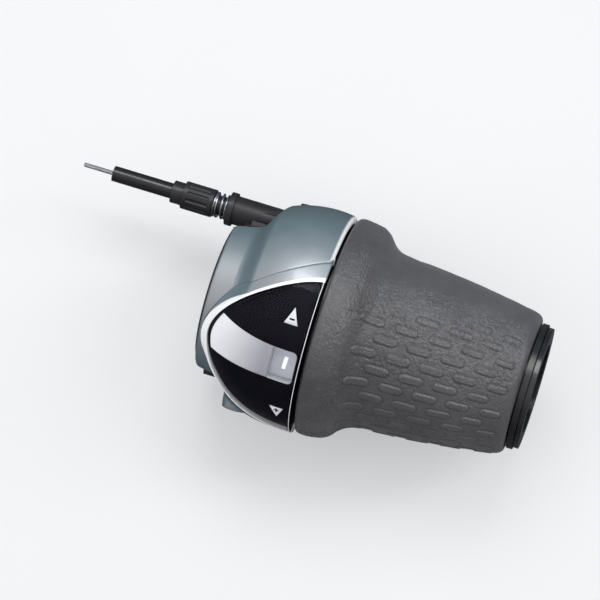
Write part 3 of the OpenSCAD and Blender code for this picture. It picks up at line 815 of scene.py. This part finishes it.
def build_mark(name, lift, material, slot, quads):
    """Small quads laid on the fascia, finely divided to follow its curve."""
    u, v = np.meshgrid(np.linspace(0, 1, 9), np.linspace(0, 1, 9), indexing="ij")
    u, v = u[..., None], v[..., None]
    grids = []
    for quad in quads:
        a, b, c, d = np.array(quad)
        points = a * (1 - u) * (1 - v) + b * u * (1 - v) + c * u * v + d * (1 - u) * v
        x, t = points[..., 0], points[..., 1]
        grids.append(across(x, lens_radius(x) - FASCIA_DROP + lift, t))
    mark = make(name, grids)
    thicken(mark, 0.02)
    install(mark, slot, material)


# ------------------------------------------------------------------ dial with its numbers
# Section of the dial: x, radius
DIAL_SECTION = [(21.2, 21.32), (20.0, 21.32), (20.0, 25.1), (20.08, 25.18), (20.2, DIAL_R),
                (24.0, DIAL_R), (27.4, DIAL_R), (27.8, DIAL_R), (27.92, 25.18), (28.0, 25.1),
                (28.0, 24.3), (21.2, 24.3)]
DIGIT_X, DIGIT_HEIGHT, DIGIT_PITCH = 24.3, 3.4, 20   # pitch in degrees


def build_dial():
    psi = np.arange(360.0)
    dial = make("number_dial",
                [(np.array([polar(x, radius, psi) for x, radius in DIAL_SECTION]), True, True)])
    install(dial, "dial_grey", DIAL, GAP_SHADE, body="grip", replaced="gear_dial")
    # the outboard rim and inner faces of the dial are black: painted shade where the gap beside
    # the rubber shows
    for face in dial.data.polygons:
        x, y, z = face.center
        face.material_index = 1 if x > 27.5 * MM or math.hypot(y, z) < 25.0 * MM else 0


def text_mesh(text, offset):
    """A flat, finely divided mesh of the text."""
    curve = bpy.data.curves.new("digit", "FONT")
    curve.body = text
    curve.size = 4.6
    curve.align_x = "CENTER"
    curve.align_y = "CENTER"
    curve.resolution_u = 6
    curve.offset = offset
    curve.shear = 0.08
    temporary = link("digit_tmp", curve)
    bpy.context.view_layer.update()
    graph = bpy.context.evaluated_depsgraph_get()
    mesh = bpy.data.meshes.new_from_object(temporary.evaluated_get(graph))
    bpy.data.objects.remove(temporary)
    bm = bmesh.new()
    bm.from_mesh(mesh)
    bmesh.ops.triangulate(bm, faces=bm.faces)
    bmesh.ops.subdivide_edges(bm, edges=bm.edges, cuts=2, use_grid_fill=True)
    bmesh.ops.remove_doubles(bm, verts=bm.verts, dist=2e-3)
    bm.to_mesh(mesh)
    bm.free()
    return mesh


def build_digit(k):
    # the 1 is emboldened more than the others
    mesh = text_mesh(str(k + 1), offset=0.17 if k else 0.26)
    flat = np.array([vert.co[:] for vert in mesh.vertices], float)
    low, high = flat.min(0), flat.max(0)
    flat = (flat - (low + high) / 2) * (DIGIT_HEIGHT / (high[1] - low[1]))
    psi = WINDOW_PSI - 3.1 - k * DIGIT_PITCH - np.degrees(flat[:, 1] / DIAL_R)
    points = polar(DIGIT_X + flat[:, 0], DIAL_R + 0.03, psi)
    mesh.vertices.foreach_set("co", points.astype(np.float32).ravel())
    mesh.update()
    digit = link(f"dial_digit_{k + 1}", mesh)
    thicken(digit, 0.02)
    install(digit, "dial_grey", DIGIT, body="grip")


# ------------------------------------------------------------------ rubber sleeve
# Outside of the sleeve: radius, x; a computed taper joins the flange to the end
FLANGE = [
    (25.3, 29.32), (26.6, 29.3), (27.35, 29.32), (27.8, 29.6), (27.98, 30.15), (27.98, 31.0),
    (27.88, 32.4), (27.7, 34.0), (27.42, 35.7), (26.98, 36.6), (26.35, 37.5), (25.35, 38.4),
    (24.35, 39.3), (23.55, 40.2), (23.0, 41.1), (22.65, 42.0), (22.4, 42.9), (22.12, 44.8)]
TAPER = [(22.0 - 3.6 * ((x - 46.5) / 31.0) ** 1.45, x) for x in np.linspace(46.5, 77.4, 13)]
SLEEVE_END = [(18.02, 78.9), (17.55, 79.6), (16.95, 80.0), (16.2, 80.1), (14.8, 80.1)]
# Inside of the sleeve: radius, x
SLEEVE_BORE = [(13.5, 80.05), (13.42, 78.8), (15.78, 78.72), (19.28, 42.0), (25.27, 36.0),
               (25.27, 29.4)]
DASH_ROWS = 36
# Dashes of even and odd rows: start from the datum, pitch, count
DASH_SPACING = [(14.1, 8.55, 4), (9.9, 8.5, 5)]


def dash_pattern(along, phi, radius):
    """Raised rounded dashes in rows along the grip, and the shallow moats round them."""
    dash = np.zeros(np.broadcast(along, phi).shape)
    moat = np.zeros_like(dash)
    for row in range(DASH_ROWS):
        lateral = np.radians(wrap(phi - (-1 + 360 / DASH_ROWS * row))) * radius
        first, pitch, count = DASH_SPACING[row % 2]
        for k in range(count):
            start = first + pitch * k
            length = 5.9 if start < 30 else 5.9 - 1.2 * (start - 30) / 14
            width = 1.05 - 0.22 * smooth((start - 12) / 34)
            beyond = np.abs(along - (start + length / 2)) - (length / 2 - width)
            distance = np.hypot(np.maximum(beyond, 0), lateral) - width
            dash = np.maximum(dash, smooth(-(distance - 0.06) / 0.34))
            moat = np.maximum(moat, np.exp(-((distance - 0.24) / 0.20) ** 2))
    return dash, moat


def noise_maker(rows):
    """Random relief over the sleeve, filtered to a wavelength in mm."""
    rng = np.random.default_rng(7)
    white = np.fft.fft2(rng.standard_normal((rows, SLEEVE_SIDES)))
    along = np.fft.fftfreq(rows, SLEEVE_STEP)[:, None]
    around = np.fft.fftfreq(SLEEVE_SIDES, 2 * math.pi * 21.5 / SLEEVE_SIDES)[None, :]

    def relief(wave, spread, along_gain=1.0, around_gain=1.0):
        frequency = np.sqrt((along * along_gain) ** 2 + (around * around_gain) ** 2)
        weight = np.exp(-((frequency - 1 / wave) * wave / spread) ** 2)
        z = np.real(np.fft.ifft2(white * weight))
        return z / z.std()

    return relief


def build_sleeve():
    profile = spline(FLANGE + TAPER + SLEEVE_END, SLEEVE_STEP)
    profile = profile[np.r_[True, np.linalg.norm(np.diff(profile, axis=0), axis=1) > 0.02]]
    psi = np.arange(SLEEVE_SIDES) * 360 / SLEEVE_SIDES
    phi = wrap(psi - 10.0)[None, :]
    radius, x = profile[:, 0][:, None], profile[:, 1][:, None]
    tangent = unit(np.gradient(profile, axis=0))
    normal_r, normal_x = tangent[:, 1][:, None], -tangent[:, 0][:, None]
    along = x - SLEEVE_X

    # a zone without dashes on the front, narrowing towards the far end
    half = 56 - 20 * smooth((along - 8) / 34)
    zone = smooth((np.abs(wrap(phi + 76)) - half) / 7.0)
    dash, moat = dash_pattern(along, phi, radius)
    dash = dash * zone
    moat = moat * zone * (1 - dash)

    # leather grain: pillows between sharp creases, in two sizes
    relief = noise_maker(len(profile))
    small = np.tanh(2.1 * np.abs(relief(1.55, 0.55, along_gain=0.85, around_gain=1.35)))
    large = np.tanh(2.4 * np.abs(relief(2.6, 0.5, along_gain=1.2, around_gain=0.9)))
    grain = np.clip(0.62 * small + 0.38 * large, 0, 1)
    soft = relief(7.0, 0.6)
    lumps = 0.5 + 0.5 * np.tanh(relief(14.0, 0.6) * 0.9)

    # where the grain shows: strongest near the top, faint on the front, and on the flange
    start = smooth((along - 0.9) / 1.2)
    top = np.exp(-(wrap(phi + 22) / 34.0) ** 2)
    off_front = smooth((np.abs(wrap(phi + 80)) - half * 0.62) / 14.0)
    grain_zone = ((0.45 * start + 0.55 * smooth((along - 4.5) / 3.0))
                  * smooth((50.4 - along) / 2.0)
                  * (0.30 + 0.70 * top) * (0.35 + 0.65 * off_front))
    flange = start * (1 - smooth((along - 9.0) / 3.0))
    grain_zone = np.maximum(grain_zone, 0.62 * flange)

    away_from_top = smooth((np.abs(wrap(phi - 5)) - 12) / 40)
    dash_height = 0.32 - 0.08 * away_from_top
    grain_height = 0.40 * (grain - 0.55) * (0.45 + 0.75 * lumps)
    lift = (dash_height * dash - 0.07 * moat
            + grain_height * grain_zone * (1 - 0.35 * dash)
            + 0.03 * soft * smooth((along - 1) / 2) * smooth((50.8 - along) / 2))
    lift = np.where(along > 50.9, lift * 0.2, lift) - 0.08

    skin = polar(x + normal_x * lift, radius + normal_r * lift, psi[None, :])
    bore = np.array([polar(bore_x, bore_r, psi) for bore_r, bore_x in SLEEVE_BORE])
    sleeve = make("rubber_sleeve", [(np.concatenate([skin, bore]), True, True)], weld=0)
    # the moats round the dashes and the valleys of the grain, darkened in the shader as painted
    # shade
    crease_shade = np.clip(np.maximum(0.60 * moat, (0.50 - grain) * 1.5 * grain_zone), 0, 1)
    bore_zeros = np.zeros((len(bore), SLEEVE_SIDES))
    for name, values in (("dash", dash), ("grain", grain * grain_zone), ("crease_shade", crease_shade)):
        add_attribute(sleeve, name, np.concatenate([values, bore_zeros]))
    install(sleeve, "grip_rubber", RUBBER, body="grip", replaced="grip_sleeve")


# ------------------------------------------------------------------ stranded wire and spring
STRAND_LAY = 6.5                # length in which a strand turns once
DRUM_X, WIND_R = 10.8, 14.25    # the wire's turn on the drum
NIPPLE_PSI, TANGENT_PSI = 199.7, 101.0
SPRING_X0, SPRING_X1 = -8.65, -5.35


def cable(name, length, place):
    """A core and six strands round it; place(a, b) is the path a and b mm off centre."""
    strands = [tube(place(0.0, 0.0), 0.19, sides=8)]
    for k in range(6):
        angle = 2 * math.pi * (length / STRAND_LAY + k / 6)
        path = place(0.375 * np.cos(angle), 0.375 * np.sin(angle))
        strands.append(tube(path, 0.195, sides=8))
    return make(name, strands, weld=1e-8)


def build_wires():
    x0, x1 = -43.9, 6.4
    xs = np.linspace(x0, x1, int((x1 - x0) / 0.35))
    wire = cable("wire_strands", xs, lambda a, b: run_point(xs, a, b))
    install(wire, "wire_steel", WIRE, replaced="wire_run",
            blend=("wire", run_point(x1), run_point(-34.0)))

    # the wire wound on the drum, from the nipple round to the tangent point, baked in place
    psi = np.linspace(NIPPLE_PSI, TANGENT_PSI, 90)
    wound = cable("wound_strands", WIND_R * np.radians(NIPPLE_PSI - psi),
                  lambda a, b: polar(DRUM_X + a, WIND_R + b, psi))
    install(wound, "wire_steel", WIRE, replaced="wire_wound",
            blend=("drum", polar(DRUM_X, WIND_R, NIPPLE_PSI), polar(DRUM_X, WIND_R, TANGENT_PSI)))


def build_spring():
    turns, coil_r = 4.0, 3.0
    u = np.linspace(0, 1, 220)
    rise = smooth((u - 0.09) / 0.82)    # flat at both ends, so the end coils close
    angle = 2 * math.pi * turns * u
    path = run_point(SPRING_X0 + 3.3 * rise, coil_r * np.cos(angle), coil_r * np.sin(angle))
    spring = make("coil_spring", [tube(path, 0.29)], weld=1e-8)
    install(spring, "spring_steel", SPRING, replaced="adjuster_spring",
            blend=("casing", run_point(SPRING_X1), run_point(SPRING_X0)))


# ------------------------------------------------------------------ all the pieces
build_cover()
build_window_rim()
build_lens()
build_band()
for mark_row in MARKS:
    build_mark(*mark_row)
build_dial()
for digit_index in range(7):
    build_digit(digit_index)
build_sleeve()
build_wires()
build_spring()

# CAD pieces shown as they are
for piece, material in {
    "window_fascia": FASCIA, "housing_base": HOUSING, "pulley_cap": CAP, "grip_core": CORE,
    "slip_washer": RING, "thrust_washer": ACETAL, "sun_gear": ACETAL, "planet_gear_a": ACETAL,
    "planet_gear_b": ACETAL, "planet_gear_c": ACETAL, "wire_drum": ACETAL,
    "guide_pulley": ACETAL, "planet_pins": STEEL, "pulley_axle": STEEL, "wire_nipple": STEEL,
    "wire_lead": WIRE, "detent_spring": SPRING, "barrel_adjuster": ADJUSTER,
    "casing_ferrule": FERRULE, "outer_casing": CASING, "casing_liner": LINER,
    "clamp_bolt": OXIDE, "clamp_nut": ZINC, "cover_screws": SCREW,
}.items():
    set_materials(NODES[piece], material)


# ------------------------------------------------------------------ studio, in metres
def floor_material():
    """Pale ground that fades to a plain backdrop for the camera and is dark in reflections."""
    mat = Material("floor")
    pale = mat.mix(mat.remap(mat.noise(30, rough=0.5), (0.3, 0.7)),
                   (0.868, 0.868, 0.878, 1), (0.880, 0.880, 0.890, 1))
    ray = mat.node("ShaderNodeLightPath").outputs
    ground = mat.principled(
        Base_Color=mat.mix(ray["Is Glossy Ray"], pale, (0.09, 0.093, 0.10, 1)),
        Roughness=0.9, Specular_IOR_Level=0.1)
    distance = mat.vector("LENGTH", mat.coords["Object"], output="Value")
    fade = mat.math("MULTIPLY", mat.remap(distance, (0.05, 0.21), (0.38, 1)),
                    ray["Is Camera Ray"])
    backdrop = mat.node("ShaderNodeEmission", Color=(0.913, 0.921, 0.939, 1))
    return mat.surface(mat.node("ShaderNodeMixShader", fade, ground,
                                backdrop.outputs["Emission"]).outputs["Shader"])


def build_floor():
    z = CAD_BOUNDS[0].z - 0.0005
    mesh = bpy.data.meshes.new("floor")
    mesh.from_pydata([(-3, -3, z), (3, -3, z), (3, 3, z), (-3, 3, z)], [], [(0, 1, 2, 3)])
    floor = link("floor", mesh)
    set_materials(floor, floor_material())


def build_world():
    """Bright overhead, blue-grey towards +Y and dim towards -Y; plain to the camera."""
    world = bpy.data.worlds.new("studio")
    bpy.context.scene.world = world
    world.use_nodes = True
    sky = Nodes(world.node_tree)
    direction = sky.node("ShaderNodeSeparateXYZ", sky.coords["Generated"]).outputs

    def gradient(axis, stops):
        return sky.ramp(sky.remap(direction[axis], (-1, 1)), stops, "EASE")

    along_y = gradient("Y", [(0.05, (0.34, 0.34, 0.35)), (0.40, (0.93, 0.93, 0.935)),
                             (0.58, (0.95, 0.96, 0.97)), (0.95, (0.36, 0.47, 0.51))])
    along_z = gradient("Z", [(0.45, (0.45, 0.46, 0.48)), (0.62, (0.75, 0.76, 0.78)),
                             (1.0, (1.0, 1.0, 1.0))])
    to_camera = sky.node("ShaderNodeLightPath").outputs["Is Camera Ray"]
    colour = sky.mix(to_camera, sky.vector("MULTIPLY", along_y, along_z),
                     (1.170, 1.181, 1.204, 1))
    background = sky.node("ShaderNodeBackground", Color=colour, Strength=0.78)
    sky.node("ShaderNodeOutputWorld", Surface=background.outputs["Background"])


def area_light(name, location, size, radiance):
    """A soft rectangular light aimed at the product, given by how bright its face is."""
    light = bpy.data.lights.new(name, "AREA")
    light.shape = "RECTANGLE"
    light.size, light.size_y = size
    light.energy = radiance * math.pi * size[0] * size[1]
    ob = link(name, light)
    ob.location = location
    ob.rotation_mode = "QUATERNION"
    aim = Vector((0.03, 0, 0)) - Vector(location)
    ob.rotation_quaternion = aim.to_track_quat("-Z", "Y")
    return ob


def build_camera():
    """Looks almost straight down, with the bar running 17 degrees below level."""
    target = Vector((0.0205, 0.004, 0.0))
    view_width = 0.150
    back = Vector((0.1219, -0.1724, 0.9775)).normalized()
    bar = Vector((1, 0, 0)) - back * back.x
    bar.normalize()
    bar_up = back.cross(bar)
    tilt = math.radians(17.0)
    right = bar * math.cos(tilt) + bar_up * math.sin(tilt)
    up = -bar * math.sin(tilt) + bar_up * math.cos(tilt)
    data = bpy.data.cameras.new("camera")
    data.lens = 200
    data.sensor_width = 36
    data.clip_start, data.clip_end = 0.01, 20
    camera = link("camera", data)
    distance = view_width * data.lens / data.sensor_width
    turn = Matrix((right, up, back)).transposed().to_4x4()
    camera.matrix_world = Matrix.Translation(target + back * distance) @ turn
    bpy.context.scene.camera = camera


build_floor()
build_world()
area_light("key", location=(-0.02, 0.42, 0.74), size=(0.50, 0.34), radiance=5.0)
left_light = area_light("left_soft", location=(-0.72, -0.22, 0.42), size=(0.50, 0.60),
                        radiance=2.2)
left_light.visible_glossy = False
area_light("right_soft", location=(0.56, 0.30, 0.60), size=(0.14, 0.55), radiance=7.0)
bpy.context.scene.view_settings.view_transform = "Standard"
bpy.context.scene.view_settings.look = "None"
build_camera()
